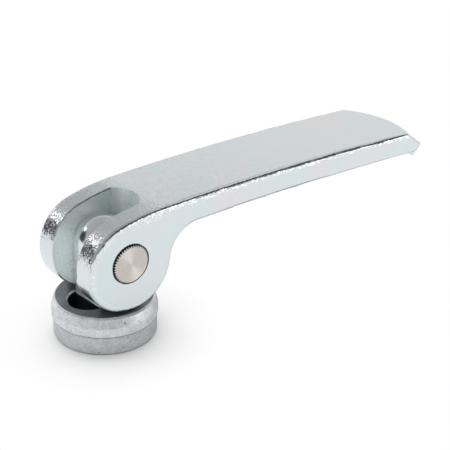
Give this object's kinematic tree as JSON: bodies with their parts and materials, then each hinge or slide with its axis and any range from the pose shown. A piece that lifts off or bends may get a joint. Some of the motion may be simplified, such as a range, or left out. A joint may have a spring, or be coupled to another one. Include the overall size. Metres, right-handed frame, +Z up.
{
  "type": "cam lever",
  "caption": "Forged steel clevis lever with cam cheeks that turns on a knurled pin in a domed eye nut and presses a slotted ring plate down to clamp.",
  "frame": {"origin": "centre of the contact plate's underside, on the axis of the nut's thread", "axes": "+Z up along the thread axis, +X along the closed lever towards its tip, +Y along the pivot pin towards its plain end"},
  "size_m": [0.1123, 0.025, 0.0336],
  "materials": {
    "lever_steel": "bright zinc plated forging, faintly blue, satin",
    "pin_steel": "turned stainless steel",
    "nut_steel": "bright plated, smooth turned",
    "plate_steel": "sintered steel, grey and fine grained"
  },
  "bodies": {
    "nut": {"eye_nut": "nut_steel"},
    "lever": {"lever": "lever_steel", "pivot_pin": "pin_steel"},
    "plate": {"contact_plate": "plate_steel"}
  },
  "joints": [
    {"name": "lever_swing", "type": "hinge", "parent": "nut", "child": "lever", "pos_m": [0, 0, 0.02158], "axis": [0, -1, 0], "range_deg": [0, 180]},
    {"name": "plate_play", "type": "slide", "parent": "nut", "child": "plate", "axis": [0, 0, -1], "range_m": [0, 0.0012]}
  ]
}
